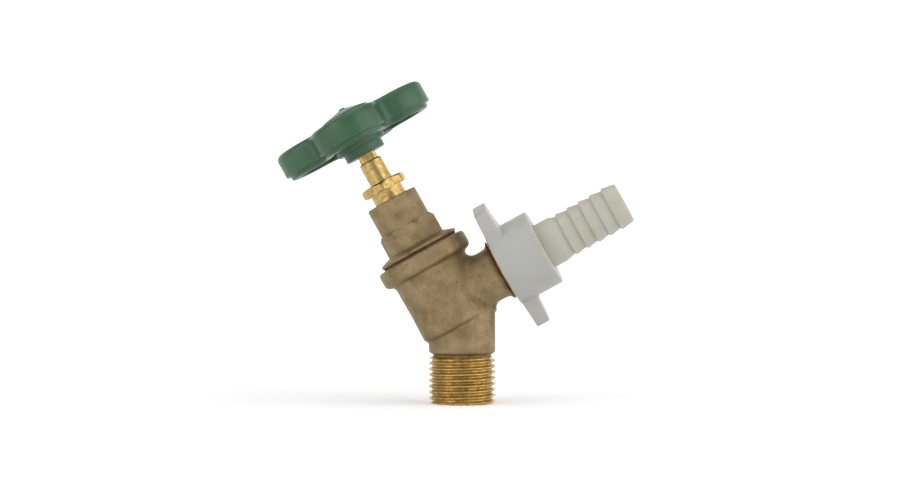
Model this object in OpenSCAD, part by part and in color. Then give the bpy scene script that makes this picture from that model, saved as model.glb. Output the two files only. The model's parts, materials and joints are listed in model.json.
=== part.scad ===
// Screw-down hose union tap: an angled cast body with its inlet thread pointing
// down, a leaning bonnet with a lobed handwheel, and a barbed hose tail held to
// the outlet by a winged union nut. Millimetres. The origin is the centre of the
// inlet thread's end face, +Z runs up the inlet and +X points towards the outlet.

/* [Layout] */
// Lean of the bonnet axis away from the inlet axis
bonnet_lean = 29; // [26:1:33]
// Height above the inlet's end where the bonnet axis crosses the inlet axis
crossing_h = 23.7; // [22.5:0.1:28]
// Distance up the bonnet axis from the crossing to the outlet axis
outlet_h = 9.9; // [9.5:0.1:11]

/* [Inlet] */
// Outside diameter of the inlet thread
inlet_thread_d = 20.955; // [20.5:0.005:22]
// Length of the inlet thread
inlet_thread_len = 14.7; // [12:0.1:15.5]
// Width of the relief groove above the inlet thread
relief_w = 0.6; // [0.3:0.1:1]
// Diameter at the bottom of the relief groove
relief_d = 18.8; // [18:0.1:20]
// Diameter of the cast neck above the inlet thread
inlet_neck_d = 20.8; // [20:0.1:22]
// Bore of the inlet
inlet_bore_d = 14; // [10:0.5:15]

/* [Barrel] */
// Outside diameter of the barrel
barrel_d = 24.6; // [24:0.1:27]
// Distance of the barrel's lower end above the crossing
barrel_foot = 0.75; // [0.2:0.05:1.5]
// Rounding of the barrel's lower edge
foot_round = 2; // [1:0.1:3]
// Distance of the collar's underside above the crossing
collar_low = 21.25; // [21:0.05:24]
// Height of the collar
collar_h = 5.75; // [4.5:0.05:8]
// Outside diameter of the collar
collar_d = 30; // [29:0.1:34]
// Rounding of the collar's lower corner
collar_round = 1.8; // [0.5:0.1:2]
// Bevel on the collar's upper corner
collar_bevel = 0.5; // [0.2:0.1:1]
// Diameter of the chamber inside the barrel
chamber_d = 19.2; // [18.4:0.1:20]
// Height of the chamber's floor above the crossing
chamber_floor = 2; // [1.5:0.1:3]
// Height of the valve seat above the chamber's floor
seat_rise = 2.2; // [1.5:0.1:3]
// Diameter of the hole through the valve seat
seat_hole_d = 11; // [9:0.1:12]
// Width of the raised wall round the valve seat
seat_wall = 2.5; // [1.5:0.1:2.8]
// Depth of the hole through the seat below the crossing
seat_hole_depth = 6; // [5:0.1:7]

/* [Outlet] */
// Diameter of the cast outlet neck
outlet_neck_d = 16.5; // [15.5:0.1:17.5]
// Outside diameter of the outlet thread
spigot_d = 20.955; // [20.5:0.005:22]
// Distance of the outlet's end face from the bonnet axis
outlet_reach = 28.5; // [28:0.1:32]
// Length of the outlet thread
spigot_len = 9.2; // [8:0.1:9.6]
// Bore of the outlet
outlet_bore_d = 12; // [9:0.5:12]

/* [Bonnet] */
// Thickness of the fibre washer under the bonnet
bonnet_washer_h = 1; // [0.8:0.1:1.5]
// Depth of the washer's recess in the collar
washer_recess = 0.3; // [0.2:0.05:0.6]
// Width of the bonnet's flange outside its threaded plug
flange_lap = 2.6; // [2.2:0.1:3]
// Depth of the plug below the collar's top
plug_len = 7.4; // [6:0.1:7.6]
// Diameter of the bonnet's flange ring
flange_d = 26; // [25:0.1:28]
// Height of the flange ring's side
flange_h = 0.9; // [0.6:0.1:1.5]
// Height of the shallow cone between the flange ring and the hexagon
cone_h = 1.2; // [0.8:0.1:2]
// Bonnet hexagon across flats
bonnet_hex_af = 17; // [17:0.5:19]
// Diameter that trims the bonnet hexagon's corners
bonnet_hex_corner_d = 19.3; // [19.1:0.1:19.6]
// Height of the bonnet hexagon up to its bevel
bonnet_hex_h = 5.8; // [4:0.1:8]
// Turn of the bonnet hexagon about its axis
bonnet_hex_turn = -3.6; // [-30:0.1:30]
// Diameter of the bonnet's round sleeve
sleeve_d = 16.7; // [15.5:0.1:16.9]
// Height of the sleeve above the hexagon's bevel
sleeve_h = 9.1; // [8.5:0.1:12]
// Rounding of the sleeve's top edge
sleeve_round = 0.4; // [0.1:0.1:0.8]

/* [Gland] */
// Diameter of the gland nut's round neck
gland_neck_d = 10.5; // [10:0.1:12]
// Height of the gland nut's neck that shows above the sleeve
gland_show = 3.4; // [2:0.1:5]
// Gland nut hexagon across flats
gland_hex_af = 14; // [13:0.5:16]
// Diameter that trims the gland hexagon's corners
gland_corner_d = 15.3; // [15:0.1:15.6]
// Height of the gland nut's hexagon
gland_hex_h = 2.8; // [2:0.1:5]
// Turn of the gland nut's hexagon about its axis
gland_hex_turn = 14; // [-30:1:30]
// Depth of the gland chamber below the sleeve's top
gland_depth = 8; // [7:0.1:8.2]
// Height of the soft packing
packing_h = 3; // [2:0.1:4]
// Thickness of the brass washer under the packing
packing_washer_h = 1; // [0.6:0.1:1.5]
// Thickness of the web between the gland chamber and the spindle thread
gland_web = 1; // [0.8:0.1:2]

/* [Valve] */
// Diameter of the rubber valve washer
valve_washer_d = 14; // [13.6:0.1:15]
// Thickness of the rubber valve washer
valve_washer_h = 2.8; // [2:0.1:3.5]
// Diameter of the jumper's plate
jumper_plate_d = 14.4; // [13.8:0.1:15.6]
// Thickness of the jumper's plate
jumper_plate_h = 2.1; // [1.5:0.1:2.3]
// Diameter of the jumper's stem
jumper_stem_d = 6; // [5:0.1:7]
// Length of the jumper's stem
jumper_stem_len = 10.4; // [8:0.1:12]
// Diameter of the stud under the jumper's plate
stud_d = 4; // [3:0.1:4.5]
// Washer nut across flats
washer_nut_af = 7; // [6.5:0.1:7.5]
// Thickness of the washer nut
washer_nut_h = 2.4; // [2:0.1:3]
// Travel of the valve from shut to fully open
valve_travel = 5; // [3:0.1:5]

/* [Spindle] */
// Diameter of the spindle's polished stem
stem_d = 7.5; // [7:0.1:8]
// Length of the stem that shows above the gland nut when the tap is shut
stem_show = 7.6; // [6:0.1:12]
// Spindle thread diameter
spindle_thread_d = 11; // [10:0.1:11.5]
// Length of the spindle's thread
spindle_thread_len = 12.5; // [8:0.1:12.7]
// Diameter of the spindle's foot
foot_d = 12.8; // [12.4:0.1:14]
// Height of the spindle's foot
foot_h = 5; // [3:0.1:5.1]
// Diameter of the spindle between its foot and its thread
waist_d = 9.4; // [8.5:0.1:9.8]
// Width across flats of the square end
square_w = 5.8; // [5:0.1:6]
// Length of the square that shows below the handwheel
square_show = 2.3; // [1:0.1:4]

/* [Handwheel] */
// Number of lobes
lobes = 4; // [4:1:6]
// Distance of each lobe's centre from the wheel's axis
lobe_reach = 14; // [13.5:0.1:16]
// Radius of each lobe
lobe_r = 11.6; // [11.2:0.1:12]
// Radius of the rounded valley between two lobes
valley_r = 3; // [2:0.1:4]
// Height of the wheel's outer skirt
skirt_h = 7.65; // [6:0.05:10]
// Rounding of the skirt's upper edge
skirt_round = 2; // [0.5:0.1:2.5]
// Rounding of the skirt's lower edge
skirt_low_round = 0.5; // [0.2:0.1:0.8]
// Distance that the inner rim hangs below the skirt
rim_drop = 1.55; // [1.2:0.05:3]
// Distance of the inner rim in from the skirt
rim_inset = 1.3; // [1:0.1:2]
// Rounding of the inner rim's lower edge
rim_round = 0.8; // [0.3:0.1:1]
// Thickness of the wheel's wall, from the skirt to the hollow
wheel_wall = 4.2; // [3.6:0.1:5]
// Thickness of the wheel's top web
web_h = 3.2; // [2:0.1:4]
// Thickness of the ribs under the wheel
rib_w = 2; // [1.5:0.1:3]
// Diameter of the hub's lower collar
hub_collar_d = 13.2; // [11:0.1:15]
// Height of the hub's lower collar
hub_collar_h = 2.6; // [2:0.1:4]
// Diameter of the hub's boss
boss_d = 16.5; // [15.6:0.1:18]
// Distance of the inner rim above the boss's underside
rim_above_boss = 1.1; // [0.2:0.1:2]
// Diameter of the recess in the hub's top
recess_d = 13; // [12.4:0.1:13.5]
// Depth of the recess in the hub's top
recess_h = 3.8; // [3.6:0.1:5]

/* [Cap and screw] */
// Diameter of the cap
cap_d = 16.2; // [15:0.1:17]
// Thickness of the cap at its edge
cap_edge_h = 1.6; // [0.6:0.1:2.5]
// Height of the cap's cone
cap_cone_h = 1.6; // [1:0.1:3]
// Diameter of the nub at the cap's peak
nub_d = 2.2; // [1.5:0.1:3]
// Wall of the ring that presses into the hub
cap_ring_wall = 1; // [0.8:0.1:1.4]
// Height of the ring that presses into the hub
cap_ring_h = 2.2; // [1.5:0.1:2.6]
// Diameter of the steel washer under the screw
wheel_washer_d = 10; // [9:0.1:10.4]
// Thickness of the steel washer under the screw
wheel_washer_h = 0.8; // [0.5:0.1:1]
// Thread diameter of the screw
screw_d = 4; // [3:0.5:4]
// Length of the screw under its head
screw_len = 10; // [6:1:12]
// Diameter of the screw's head
screw_head_d = 7.4; // [6.5:0.1:7.8]
// Height of the screw's head
screw_head_h = 2.2; // [1.6:0.1:2.4]

/* [Union nut] */
// Outside diameter of the union nut
nut_d = 25; // [24:0.1:28]
// Gap between the outlet's flare and the union nut
nut_gap = 0.9; // [0.5:0.1:2]
// Thickness of the nut's lip round the hose tail
nut_lip = 2.6; // [1.8:0.1:4]
// Bevel of the nut's outer edges
nut_bevel = 0.4; // [0.2:0.1:0.8]
// Distance between the tips of the two wings
wing_span = 42; // [36:0.5:50]
// Width of each wing
wing_w = 12.5; // [9:0.5:16]
// Thickness of each wing at its tip
wing_tip_h = 4.4; // [3:0.1:5]
// Thickness of each wing where it meets the nut
wing_root_h = 5.1; // [4:0.1:6]
// Rounding of the wing's corners
wing_round = 3.2; // [1:0.1:4.5]
// Distance of the wings from the nut's open end
wing_inset = 0.3; // [0:0.1:2]
// Turn of the wings about the outlet axis
wing_turn = 18; // [0:1:90]

/* [Hose tail] */
// Thickness of the rubber union washer
union_washer_h = 1.8; // [1:0.1:2.5]
// Thickness of the tail's flange
tail_flange_h = 2; // [1.5:0.1:3]
// Diameter of the tail's flange
tail_flange_d = 18.4; // [17.5:0.1:18.8]
// Diameter of the tail's plain root
tail_root_d = 14.8; // [14.4:0.1:15.6]
// Length of the root that shows outside the nut
tail_root_show = 5; // [3:0.1:8]
// Length of the taper from the root to the first barb
tail_taper = 2.3; // [2:0.1:4]
// Diameter between the barbs
barb_low_d = 13.1; // [12.5:0.1:13.8]
// Diameter of the barbs
barb_d = 14.5; // [14:0.1:15]
// Number of barbs
barbs = 5; // [3:1:8]
// Distance from one barb to the next
barb_pitch = 4.05; // [3:0.05:6]
// Length of a barb's undercut
barb_under = 0.6; // [0.3:0.1:1]
// Extra length of the last barb
tip_extra = 1.05; // [0:0.05:2]
// Bore of the hose tail
tail_bore_d = 10; // [7:0.5:10.5]

/* [Clearances] */
// Radial running clearance of turning and sliding round parts
running_gap = 0.05; // [0.02:0.01:0.1]
// Radial clearance of parts that are screwed or pressed together
fit_gap = 0.1; // [0.05:0.01:0.15]
// Radial clearance of the union nut's lip and of loose washers
loose_gap = 0.25; // [0.1:0.05:0.4]
// End clearance that the spindle keeps at its open stop
stop_gap = 0.3; // [0.2:0.1:0.5]

/* [Hidden] */
$fn = 96;
lobe_steps = 12;
valley_steps = 4;

// Colours as they show on the object
cast_brass = [0.52, 0.42, 0.24];
bright_brass = [0.80, 0.64, 0.34];
wheel_green = [0.12, 0.34, 0.18];
nut_white = [0.88, 0.88, 0.89];
tail_cream = [0.80, 0.80, 0.70];
rubber_black = [0.10, 0.10, 0.10];
fibre_brown = [0.45, 0.25, 0.16];
steel_grey = [0.66, 0.67, 0.69];

// Radii of the body
inlet_r = inlet_thread_d / 2;
barrel_r = barrel_d / 2;
collar_r = collar_d / 2;
chamber_r = chamber_d / 2;
neck_r = outlet_neck_d / 2;
spigot_r = spigot_d / 2;
plug_d = flange_d - 2 * flange_lap;
collar_fillet = collar_r - collar_round - barrel_r;

// Stations up the bonnet axis, from the crossing
body_top = collar_low + collar_h;
seat_face = chamber_floor + seat_rise;
washer_low = body_top - washer_recess;
flange_low = washer_low + bonnet_washer_h;
plug_low = body_top - plug_len;
cone_low = flange_low + flange_h;
hex_low = cone_low + cone_h;
hex_top = hex_low + bonnet_hex_h;
hex_bevel = (bonnet_hex_corner_d - sleeve_d) / 2;
sleeve_top = hex_top + hex_bevel + sleeve_h;
gland_floor = sleeve_top - gland_depth;
packing_low = gland_floor + packing_washer_h;
gland_nut_low = packing_low + packing_h;
gland_hex_low = sleeve_top + gland_show;
gland_top = gland_hex_low + gland_hex_h;
plate_low = seat_face + valve_washer_h;
plate_top = plate_low + jumper_plate_h;
nut_low = seat_face - washer_nut_h;
foot_top = min(plate_top + foot_h, plug_low - valve_travel - stop_gap);
thread_top = gland_floor - gland_web - valve_travel - stop_gap;
shoulder = gland_top + stem_show;

// Stations of the handwheel up the bonnet axis, with the tap shut
hub_low = shoulder + square_show;
boss_low = hub_low + hub_collar_h;
rim_low = boss_low + rim_above_boss;
skirt_low = rim_low + rim_drop;
wheel_top = skirt_low + skirt_h;
web_low = wheel_top - web_h;
recess_low = wheel_top - recess_h;
spindle_top = recess_low - 0.4;
head_low = recess_low + wheel_washer_h;

// Stations along the outlet axis, from the bonnet axis
flare_r = spigot_r - neck_r;
flare_end = outlet_reach - spigot_len;
nut_start = flare_end + nut_gap;
tail_start = outlet_reach + union_washer_h;
lip_start = tail_start + tail_flange_h;
nut_end = lip_start + nut_lip;
root_end = nut_end + tail_root_show;
barbs_start = root_end + tail_taper;
tail_end = barbs_start + barbs * barb_pitch + tip_extra;

// Points of a round stretch about a centre, from one angle to another
function arc(centre, radius, from, to, steps = 8) =
    [for (i = [0:steps])
        let (a = from + (to - from) * i / steps)
        [centre[0] + radius * cos(a), centre[1] + radius * sin(a)]];

// Places children with +Z up the bonnet axis and +X towards the outlet
module on_bonnet_axis(distance = 0)
    translate([0, 0, crossing_h])
        rotate([0, -bonnet_lean, 0])
            translate([0, 0, distance])
                children();

// Places children with +Z along the outlet axis, away from the body
module on_outlet_axis(distance = 0)
    on_bonnet_axis(outlet_h)
        rotate([0, 90, 0])
            translate([0, 0, distance])
                children();

// A ring between two heights
module ring(outer_r, inner_r, low, high)
    rotate_extrude()
        translate([inner_r, low])
            square([outer_r - inner_r, high - low]);

// A hexagonal prism between two heights, with its corners turned down
module trimmed_hex(across_flats, corner_d, low, high, bevel_low, bevel_high)
    intersection() {
        translate([0, 0, low])
            cylinder(d = across_flats / cos(30), h = high - low, $fn = 6);
        rotate_extrude()
            polygon([[0, low], [corner_d / 2 - bevel_low, low],
                     [corner_d / 2, low + bevel_low * 0.6],
                     [corner_d / 2, high - bevel_high * 0.6],
                     [corner_d / 2 - bevel_high, high], [0, high]]);
    }

// Inlet side of the casting: thread, relief groove and cast neck
module inlet_outside() {
    cylinder(r = inlet_r, h = inlet_thread_len);
    cylinder(d = relief_d, h = inlet_thread_len + 2 * relief_w);
    difference() {
        rotate_extrude()
            polygon([[0, inlet_thread_len + relief_w],
                     [relief_d / 2, inlet_thread_len + relief_w],
                     [inlet_neck_d / 2, inlet_thread_len + relief_w + 0.5],
                     [inlet_neck_d / 2, crossing_h + barrel_r],
                     [0, crossing_h + barrel_r]]);
        on_bonnet_axis(barrel_foot + foot_round * 0.75)
            cylinder(d = 4 * barrel_d, h = 2 * barrel_d);
    }
}

// Leaning barrel with its rounded foot and its collar
module barrel_outside()
    on_bonnet_axis()
        rotate_extrude()
            polygon(concat(
                [[0, barrel_foot]],
                arc([barrel_r - foot_round, barrel_foot + foot_round], foot_round, -90, 0),
                arc([barrel_r + collar_fillet, collar_low - collar_fillet], collar_fillet, 180, 90),
                arc([collar_r - collar_round, collar_low + collar_round], collar_round, -90, 0),
                [[collar_r, body_top - collar_bevel],
                 [collar_r - collar_bevel, body_top],
                 [0, body_top]]));

// Outlet neck, its flare and the threaded spigot
module outlet_outside()
    on_outlet_axis()
        rotate_extrude()
            polygon(concat(
                [[0, 0], [neck_r, 0]],
                arc([spigot_r, flare_end - flare_r], flare_r, 180, 90),
                [[spigot_r, outlet_reach], [0, outlet_reach]]));

// Waterway: inlet bore, seat hole, chamber with its seat, and outlet bore
module waterway() {
    bore_top = crossing_h - (inlet_bore_d / 2 + 1) / cos(bonnet_lean) + (chamber_floor - 2);
    translate([0, 0, -1])
        cylinder(d = inlet_bore_d, h = bore_top + 1);
    translate([0, 0, bore_top])
        sphere(d = inlet_bore_d);
    on_bonnet_axis(-seat_hole_depth)
        cylinder(d = seat_hole_d, h = seat_hole_depth + seat_face + 1);
    on_bonnet_axis()
        difference() {
            translate([0, 0, chamber_floor])
                cylinder(r = chamber_r, h = body_top);
            cylinder(d = seat_hole_d + 2 * seat_wall, h = seat_face);
        }
    on_bonnet_axis(plug_low - 0.4)
        cylinder(d = plug_d + 2 * fit_gap, h = body_top);
    on_bonnet_axis(washer_low)
        cylinder(d = flange_d - 0.6, h = body_top);
    on_outlet_axis(chamber_r - 1)
        cylinder(d = outlet_bore_d, h = outlet_reach);
}

module body()
    color(cast_brass)
        difference() {
            union() {
                inlet_outside();
                barrel_outside();
                outlet_outside();
            }
            waterway();
        }

module bonnet_washer()
    color(fibre_brown)
        on_bonnet_axis()
            ring(flange_d / 2 - 0.3 - fit_gap, plug_d / 2 + fit_gap, washer_low, flange_low);

module bonnet()
    color(cast_brass)
        on_bonnet_axis()
            difference() {
                union() {
                    rotate_extrude()
                        polygon([[0, plug_low], [plug_d / 2 - 0.8, plug_low],
                                 [plug_d / 2, plug_low + 0.8], [plug_d / 2, flange_low],
                                 [flange_d / 2, flange_low], [flange_d / 2, cone_low],
                                 [flange_d / 2 - 0.4, cone_low + 0.3],
                                 [bonnet_hex_corner_d / 2 + 0.1, hex_low], [0, hex_low]]);
                    rotate(bonnet_hex_turn)
                        intersection() {
                            translate([0, 0, flange_low + 0.5])
                                cylinder(d = bonnet_hex_af / cos(30),
                                         h = hex_top + hex_bevel - flange_low, $fn = 6);
                            rotate_extrude()
                                polygon([[0, flange_low], [bonnet_hex_corner_d / 2, flange_low],
                                         [bonnet_hex_corner_d / 2, hex_top],
                                         [sleeve_d / 2 - 0.1, hex_top + hex_bevel + 0.1],
                                         [0, hex_top + hex_bevel + 0.1]]);
                        }
                    rotate_extrude()
                        polygon(concat(
                            [[0, flange_low + 1], [sleeve_d / 2, flange_low + 1]],
                            arc([sleeve_d / 2 - sleeve_round, sleeve_top - sleeve_round],
                                sleeve_round, 0, 90, 4),
                            [[0, sleeve_top]]));
                }
                translate([0, 0, plug_low - 1])
                    cylinder(d = spindle_thread_d + 2 * running_gap,
                             h = gland_floor - gland_web - plug_low + 1);
                translate([0, 0, plug_low])
                    cylinder(d = stem_d + 2 * running_gap, h = sleeve_top - plug_low);
                translate([0, 0, gland_floor])
                    cylinder(d = gland_neck_d + 2 * fit_gap, h = gland_depth + 1);
            }

module packing_washer()
    color(bright_brass)
        on_bonnet_axis()
            ring(gland_neck_d / 2, stem_d / 2 + fit_gap, gland_floor, packing_low);

module gland_packing()
    color(nut_white)
        on_bonnet_axis()
            ring(gland_neck_d / 2, stem_d / 2 + running_gap, packing_low, gland_nut_low);

module gland_nut()
    color(bright_brass)
        on_bonnet_axis()
            difference() {
                union() {
                    translate([0, 0, gland_nut_low])
                        cylinder(d = gland_neck_d, h = gland_top - gland_nut_low);
                    rotate(gland_hex_turn)
                        trimmed_hex(gland_hex_af, gland_corner_d, gland_hex_low, gland_top, 0.3, 0.9);
                }
                translate([0, 0, gland_nut_low - 1])
                    cylinder(d = stem_d + 2 * fit_gap, h = gland_top - gland_nut_low + 2);
            }

module jumper()
    color(bright_brass)
        on_bonnet_axis()
            rotate_extrude()
                polygon([[0, nut_low - 0.6], [stud_d / 2, nut_low - 0.6], [stud_d / 2, plate_low],
                         [jumper_plate_d / 2, plate_low], [jumper_plate_d / 2, plate_top - 0.4],
                         [jumper_plate_d / 2 - 0.4, plate_top], [jumper_stem_d / 2, plate_top],
                         [jumper_stem_d / 2, plate_top + jumper_stem_len - 0.5],
                         [jumper_stem_d / 2 - 0.5, plate_top + jumper_stem_len],
                         [0, plate_top + jumper_stem_len]]);

module valve_washer()
    color(rubber_black)
        on_bonnet_axis()
            ring(valve_washer_d / 2, stud_d / 2 + fit_gap, seat_face, plate_low);

module washer_nut()
    color(bright_brass)
        on_bonnet_axis(nut_low)
            difference() {
                cylinder(d = washer_nut_af / cos(30), h = washer_nut_h, $fn = 6);
                translate([0, 0, -1])
                    cylinder(d = stud_d + 2 * fit_gap, h = washer_nut_h + 2);
            }

module spindle()
    color(bright_brass)
        on_bonnet_axis()
            difference() {
                union() {
                    rotate_extrude()
                        polygon([[0, plate_top], [foot_d / 2 - 0.5, plate_top],
                                 [foot_d / 2, plate_top + 0.5], [foot_d / 2, foot_top - 0.5],
                                 [foot_d / 2 - 0.5, foot_top], [waist_d / 2, foot_top],
                                 [waist_d / 2, thread_top - spindle_thread_len - 0.8],
                                 [spindle_thread_d / 2, thread_top - spindle_thread_len],
                                 [spindle_thread_d / 2, thread_top - 0.8],
                                 [waist_d / 2, thread_top], [stem_d / 2, thread_top],
                                 [stem_d / 2, shoulder - 0.3], [stem_d / 2 - 0.3, shoulder],
                                 [0, shoulder]]);
                    intersection() {
                        translate([-square_w / 2, -square_w / 2, shoulder - 1])
                            cube([square_w, square_w, spindle_top - shoulder + 1]);
                        translate([0, 0, shoulder - 1])
                            cylinder(d = stem_d, h = spindle_top - shoulder + 1);
                    }
                }
                translate([0, 0, plate_top - 1])
                    cylinder(d = jumper_stem_d + 2 * running_gap, h = jumper_stem_len + 2);
                translate([0, 0, head_low - screw_len - 1])
                    cylinder(d = screw_d + 2 * fit_gap, h = screw_len + 2);
            }

// Angles and centres of the wheel's outline: each lobe's arc runs smoothly into the
// arc of the valley beside it
half_lobe = 180 / lobes;
valley_reach = lobe_reach * cos(half_lobe)
    + sqrt(pow(lobe_r + valley_r, 2) - pow(lobe_reach * sin(half_lobe), 2));
lobe_sweep = atan2(valley_reach * sin(half_lobe), valley_reach * cos(half_lobe) - lobe_reach);

// Outline of the wheel as points, moved inwards by inset
function lobed_outline(inset) =
    [for (i = [0:lobes - 1])
        let (turn = i * 360 / lobes,
             lobe_at = lobe_reach * [cos(turn), sin(turn)],
             valley_at = valley_reach * [cos(turn + half_lobe), sin(turn + half_lobe)])
        each concat(
            arc(lobe_at, lobe_r - inset, turn - lobe_sweep, turn + lobe_sweep, lobe_steps),
            [for (k = [1:valley_steps - 1])
                let (a = turn + 180 + lobe_sweep + (2 * half_lobe - 2 * lobe_sweep) * k / valley_steps)
                valley_at + (valley_r + inset) * [cos(a), sin(a)]])];

// Section of the wheel's shell as [inset, height]: from the hollow's ceiling down its
// wall, round the lower rim and up the skirt to the top
wheel_section = concat(
    [[wheel_wall, web_low], [wheel_wall, rim_low]],
    arc([rim_inset + rim_round, rim_low + rim_round], rim_round, 270, 180, 3),
    [[rim_inset, skirt_low]],
    arc([skirt_low_round, skirt_low + skirt_low_round], skirt_low_round, 270, 180, 3),
    arc([skirt_round, wheel_top - skirt_round], skirt_round, 180, 90, 5));

// The wheel's shell: the outline lofted through the section, closed by two flat faces
module wheel_shell() {
    rings = len(wheel_section);
    count = len(lobed_outline(0));
    polyhedron(
        points = concat(
            [for (edge = wheel_section, p = lobed_outline(edge[0])) [p[0], p[1], edge[1]]],
            [[0, 0, web_low], [0, 0, wheel_top]]),
        faces = concat(
            [for (i = [0:count - 1]) [i, (i + 1) % count, rings * count]],
            [for (i = [0:count - 1])
                [(rings - 1) * count + (i + 1) % count, (rings - 1) * count + i, rings * count + 1]],
            [for (ring = [0:rings - 2], i = [0:count - 1], half = [0, 1])
                let (a = ring * count + i,
                     b = ring * count + (i + 1) % count,
                     c = a + count,
                     d = b + count)
                half == 0 ? [a, c, b] : [b, c, d]]));
}

// Ribs in the hollow, from the boss to the wall in each valley
module wheel_ribs()
    for (i = [0:lobes - 1])
        rotate((i + 0.5) * 360 / lobes)
            translate([boss_d / 2 - 1, -rib_w / 2, rim_low + 1])
                cube([valley_reach - valley_r - wheel_wall - boss_d / 2 + 2, rib_w,
                      web_low - rim_low - 0.5]);

module handwheel()
    color(wheel_green)
        on_bonnet_axis()
            rotate(-90)
                difference() {
                    union() {
                        wheel_shell();
                        wheel_ribs();
                        translate([0, 0, hub_low])
                            cylinder(d = hub_collar_d, h = web_low - hub_low + 1);
                        translate([0, 0, boss_low])
                            cylinder(d = boss_d, h = web_low - boss_low + 1);
                    }
                    translate([0, 0, recess_low])
                        cylinder(d = recess_d, h = recess_h + 1);
                    translate([-square_w / 2 - fit_gap, -square_w / 2 - fit_gap, hub_low - 1])
                        cube([square_w + 2 * fit_gap, square_w + 2 * fit_gap, recess_low - hub_low + 2]);
                }

module wheel_washer()
    color(steel_grey)
        on_bonnet_axis()
            ring(wheel_washer_d / 2, screw_d / 2 + fit_gap, recess_low, head_low);

module wheel_screw()
    color(steel_grey)
        on_bonnet_axis()
            difference() {
                union() {
                    translate([0, 0, head_low - screw_len])
                        cylinder(d = screw_d, h = screw_len + 0.5);
                    rotate_extrude()
                        polygon(concat(
                            [[0, head_low], [screw_head_d / 2, head_low]],
                            arc([screw_head_d / 2 - 0.8, head_low + screw_head_h - 0.8], 0.8, 0, 90, 4),
                            [[0, head_low + screw_head_h]]));
                }
                for (turn = [0, 90])
                    rotate(turn)
                        translate([-2.2, -0.4, head_low + screw_head_h - 1.2])
                            cube([4.4, 0.8, 2]);
            }

module wheel_cap()
    color(wheel_green)
        on_bonnet_axis() {
            ring(recess_d / 2 - fit_gap, recess_d / 2 - fit_gap - cap_ring_wall,
                 wheel_top - cap_ring_h, wheel_top + 0.2);
            rotate_extrude()
                polygon([[0, wheel_top], [cap_d / 2, wheel_top], [cap_d / 2, wheel_top + cap_edge_h],
                         [nub_d / 2, wheel_top + cap_edge_h + cap_cone_h],
                         [nub_d / 2 - 0.3, wheel_top + cap_edge_h + cap_cone_h + 0.3],
                         [0, wheel_top + cap_edge_h + cap_cone_h + 0.3]]);
        }

module union_washer()
    color(rubber_black)
        on_outlet_axis()
            ring(spigot_r - 0.5, outlet_bore_d / 2, outlet_reach, tail_start);

// One barb: an undercut out to the full diameter, then a cone back down
function barb(start) = [[barb_low_d / 2, start], [barb_d / 2, start + barb_under]];

module hose_tail()
    color(tail_cream)
        on_outlet_axis()
            difference() {
                rotate_extrude()
                    polygon(concat(
                        [[0, tail_start], [tail_flange_d / 2, tail_start],
                         [tail_flange_d / 2, lip_start], [tail_root_d / 2, lip_start],
                         [tail_root_d / 2, root_end]],
                        [for (i = [0:barbs - 1]) each barb(barbs_start + i * barb_pitch)],
                        [[barb_low_d / 2 - 0.1, tail_end], [0, tail_end]]));
                translate([0, 0, tail_start - 1])
                    cylinder(d = tail_bore_d, h = tail_end - tail_start + 2);
            }

// Two wings drawn as one bar with rounded corners, thinner towards the tips
module wings() {
    half_span = wing_span / 2;
    low = nut_start + wing_inset;
    intersection() {
        rotate(wing_turn)
            translate([0, 0, low])
                linear_extrude(wing_root_h)
                    union() {
                        square([wing_span - 2 * wing_round, wing_w], center = true);
                        square([wing_span, wing_w - 2 * wing_round], center = true);
                        for (x = [-1, 1], y = [-1, 1])
                            translate([x * (half_span - wing_round), y * (wing_w / 2 - wing_round)])
                                circle(r = wing_round);
                    }
        rotate_extrude()
            polygon([[0, low], [nut_d / 2, low],
                     [half_span + 1, low + (wing_root_h - wing_tip_h) / 2],
                     [half_span + 1, low + (wing_root_h + wing_tip_h) / 2],
                     [nut_d / 2, low + wing_root_h], [0, low + wing_root_h]]);
    }
}

module union_nut()
    color(nut_white)
        on_outlet_axis()
            difference() {
                union() {
                    rotate_extrude()
                        polygon([[0, nut_start], [nut_d / 2 - nut_bevel, nut_start],
                                 [nut_d / 2, nut_start + nut_bevel], [nut_d / 2, nut_end - nut_bevel],
                                 [nut_d / 2 - nut_bevel, nut_end], [0, nut_end]]);
                    wings();
                }
                translate([0, 0, nut_start - 1])
                    cylinder(r = spigot_r + running_gap, h = lip_start - nut_start + 1);
                translate([0, 0, nut_start])
                    cylinder(d = tail_root_d + 2 * loose_gap, h = nut_end - nut_start + 1);
            }

body();
bonnet_washer();
bonnet();
packing_washer();
gland_packing();
gland_nut();
jumper();
valve_washer();
washer_nut();
spindle();
handwheel();
wheel_washer();
wheel_screw();
wheel_cap();
union_washer();
hose_tail();
union_nut();
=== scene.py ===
"""Hose tap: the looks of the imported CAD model, in metres, in the CAD model's frame."""
import json
import math

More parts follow.
